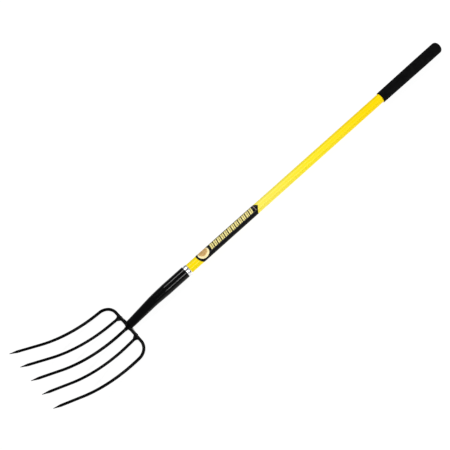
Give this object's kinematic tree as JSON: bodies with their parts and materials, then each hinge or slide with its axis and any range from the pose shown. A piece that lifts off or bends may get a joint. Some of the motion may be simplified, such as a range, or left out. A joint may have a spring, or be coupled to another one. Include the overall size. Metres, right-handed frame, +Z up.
{
  "type": "digging fork",
  "caption": "Long-handled fork: curved round tines on a bent crossbar, swan-neck steel socket, yellow fibreglass tube handle with wrap label and domed rubber end grip.",
  "frame": {"origin": "on the ground under the middle of the whole length, on the tool's plane of symmetry", "axes": "+X along the handle from the tines to the grip, +Z up from the ground, which is the side the tines curve towards"},
  "size_m": [1.6678, 0.2486, 0.1582],
  "materials": {
    "black_steel": "semi-gloss black paint over forged bar",
    "weld_steel": "weld metal under semi-gloss black paint",
    "socket_steel": "gloss black paint",
    "bright_steel": "bright plated steel",
    "yellow_fibreglass": "smooth glossy pultruded fibreglass",
    "label_film": "printed film, satin gloss",
    "grip_rubber": "matte black, fine texture",
    "core_wood": "plain turned wood",
    "plug_plastic": "moulded"
  },
  "bodies": {
    "root": {"outer_bow": "black_steel", "inner_tine_left": "black_steel", "inner_tine_right": "black_steel", "centre_tine": "black_steel", "neck_boss": "black_steel", "gusset_left": "black_steel", "gusset_right": "black_steel", "weld_inner_left": "weld_steel", "weld_inner_right": "weld_steel", "boss_welds": "weld_steel", "centre_tine_weld": "weld_steel", "socket": "socket_steel", "crimp_collar": "bright_steel", "handle_tube": "yellow_fibreglass", "core_dowel": "core_wood", "end_plug": "plug_plastic", "rivet_front": "socket_steel", "rivet_rear": "socket_steel", "label_sleeve": "label_film", "grip_sleeve": "grip_rubber"}
  },
  "joints": []
}
